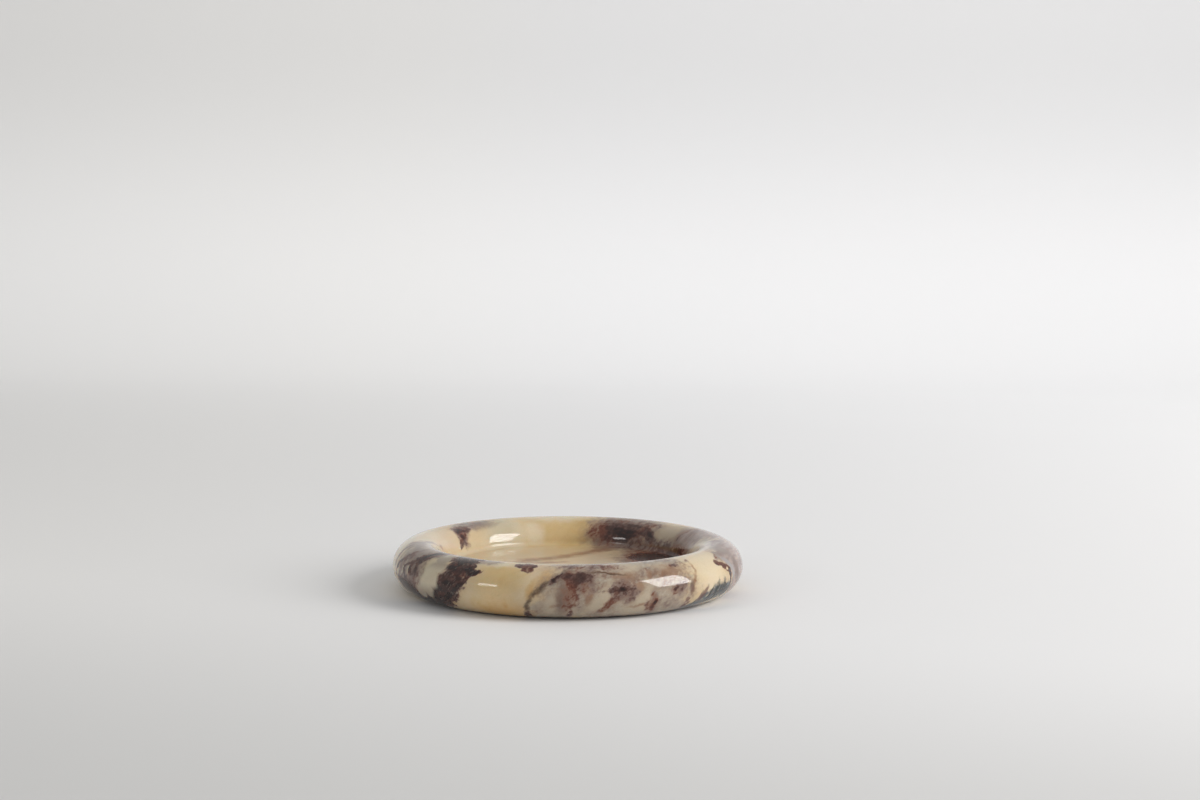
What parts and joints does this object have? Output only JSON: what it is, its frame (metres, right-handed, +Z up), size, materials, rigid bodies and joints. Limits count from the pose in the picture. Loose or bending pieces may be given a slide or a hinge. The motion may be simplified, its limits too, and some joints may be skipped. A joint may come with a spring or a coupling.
{
  "type": "stone tray",
  "caption": "Round marble tray with a shallow flat recess inside a thick, fully rounded rim, standing on recessed silicone feet.",
  "frame": {"origin": "on the table, under the centre of the round tray", "axes": "+Z up along the axis the tray is turned about; -Y faces the camera of the picture, and +X is to its right"},
  "size_m": [0.2, 0.2, 0.0283],
  "materials": {
    "marble": "polished",
    "silicone": "satin"
  },
  "bodies": {
    "root": {"stone_tray": "marble", "foot_1": "silicone", "foot_2": "silicone", "foot_3": "silicone", "foot_4": "silicone"}
  },
  "joints": []
}
